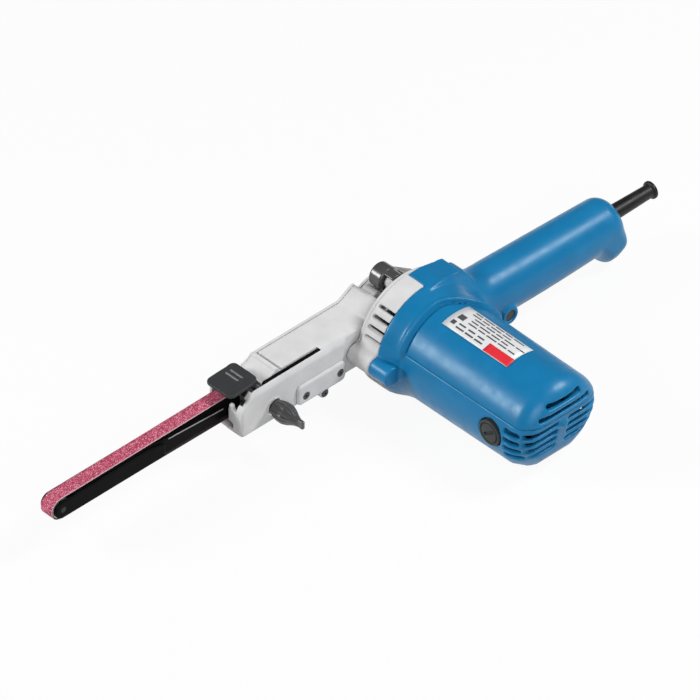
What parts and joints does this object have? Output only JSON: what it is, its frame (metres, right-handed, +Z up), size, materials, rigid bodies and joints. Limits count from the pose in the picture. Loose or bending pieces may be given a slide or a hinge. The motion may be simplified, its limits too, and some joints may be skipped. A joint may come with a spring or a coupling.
{
  "type": "power file",
  "caption": "Hand-held belt-file sander: motor with a side handle, a swivelling belt head and a long sprung arm that carries a narrow abrasive belt.",
  "frame": {"origin": "on the flat underside of the motor housing, under the motor axis", "axes": "+X forward to the belt's nose, +Y along the motor axis to the motor's end, +Z up"},
  "size_m": [0.4273, 0.1539, 0.0635],
  "materials": {
    "blue_plastic": "satin moulded plastic",
    "silver_casting": "silver paint on a die casting",
    "silver_plate": "silver paint on sheet",
    "dark_screws": "blackened steel",
    "lamination_steel": "stacked laminations",
    "copper_winding": "enamelled wire",
    "commutator_copper": "turned copper bars",
    "brass": "pressed sheet",
    "carbon": "pressed carbon",
    "spring_steel": "bright wire",
    "cap_plastic": "moulded plastic",
    "bearing_steel": "ground races",
    "switch_plastic": "moulded plastic",
    "guard_rubber": "moulded rubber",
    "ground_steel": "ground steel",
    "pulley_rubber": "rubber tyre on a steel hub",
    "washer_steel": "zinc plate",
    "abrasive": "aluminium oxide grit on cloth",
    "arm_black": "gloss black paint",
    "shoe_steel": "graphite-faced steel",
    "roller_steel": "turned steel",
    "lever_dark": "matt dark paint",
    "knob_black": "moulded plastic",
    "trigger_black": "moulded plastic"
  },
  "bodies": {
    "housing": {"main_housing": "blue_plastic", "motor_cover": "blue_plastic", "handle_cover": "blue_plastic", "front_bracket": "silver_casting", "bracket_screws": "dark_screws", "cover_screws": "dark_screws", "handle_screws": "dark_screws", "stator_core": "lamination_steel", "field_coils": "copper_winding", "brush_holders": "brass", "carbon_brushes": "carbon", "brush_springs": "spring_steel", "brush_caps": "cap_plastic", "front_bearing": "bearing_steel", "rear_bearing": "bearing_steel", "switch_body": "switch_plastic", "cord_clamp": "switch_plastic", "cord_guard": "guard_rubber", "trigger_springs": "spring_steel", "button_spring": "spring_steel"},
    "armature": {"armature_shaft": "ground_steel", "armature_core": "lamination_steel", "armature_windings": "copper_winding", "commutator": "commutator_copper", "cooling_fan": "switch_plastic", "drive_pulley": "pulley_rubber", "pulley_screw": "dark_screws"},
    "head": {"belt_housing": "silver_casting", "belt_cover": "silver_plate", "belt_cover_screws": "dark_screws", "side_plate": "silver_plate", "side_plate_screws": "dark_screws", "clamp_bolt": "ground_steel", "lever_pin": "ground_steel", "tracking_washer": "washer_steel", "tension_spring": "spring_steel", "abrasive_belt": "abrasive"},
    "arm": {"arm_carriage": "ground_steel", "belt_arm": "arm_black", "contact_shoe": "shoe_steel", "tension_link": "arm_black", "nose_axle": "ground_steel", "arm_screws": "dark_screws"},
    "nose_wheel": {"nose_roller": "roller_steel"},
    "tension_lever": {"release_lever": "lever_dark"},
    "tracker": {"tracking_knob": "knob_black", "tracking_screw": "ground_steel"},
    "clamp": {"clamp_lever": "knob_black"},
    "trigger_body": {"trigger": "trigger_black"},
    "lock": {"lock_button": "trigger_black"}
  },
  "joints": [
    {"name": "motor_spin", "type": "hinge", "parent": "housing", "child": "armature", "pos_m": [0, -0.02, 0.0275], "axis": [0, 1, 0], "continuous": true},
    {"name": "head_swivel", "type": "hinge", "parent": "housing", "child": "head", "pos_m": [0, -0.07, 0.0275], "axis": [0, -1, 0], "range_deg": [-30, 30]},
    {"name": "arm_slide", "type": "slide", "parent": "head", "child": "arm", "axis": [-1, 0, 0], "range_m": [0, 0.008], "stiffness_N_per_m": 1500, "springref_m": -0.01, "deforming": ["tension_spring"]},
    {"name": "nose_roll", "type": "hinge", "parent": "arm", "child": "nose_wheel", "pos_m": [0.24215, -0.08, 0.0275], "axis": [0, 1, 0], "continuous": true},
    {"name": "release_lift", "type": "hinge", "parent": "head", "child": "tension_lever", "pos_m": [0.105, -0.077, 0.039], "axis": [0, -1, 0], "range_deg": [0, 60]},
    {"name": "tracking_turn", "type": "hinge", "parent": "head", "child": "tracker", "pos_m": [0.0975, -0.06, 0.0244], "axis": [0, 1, 0], "range_deg": [-180, 180]},
    {"name": "clamp_turn", "type": "hinge", "parent": "head", "child": "clamp", "pos_m": [0.003, -0.075, 0.05383], "axis": [0, 1, 0], "range_deg": [0, 90]},
    {"name": "trigger_squeeze", "type": "slide", "parent": "housing", "child": "trigger_body", "axis": [0, 0, 1], "range_m": [0, 0.004], "stiffness_N_per_m": 400, "springref_m": -0.002, "deforming": ["trigger_springs"]},
    {"name": "lock_push", "type": "slide", "parent": "housing", "child": "lock", "axis": [0, -1, 0], "range_m": [0, 0.003], "stiffness_N_per_m": 300, "springref_m": -0.002, "deforming": ["button_spring"]}
  ],
  "couplings": [
    {"joint": "nose_roll", "follows": "motor_spin", "ratio": 1.3226},
    {"joint": "release_lift", "follows": "arm_slide", "rad_per_m": 130.8}
  ]
}
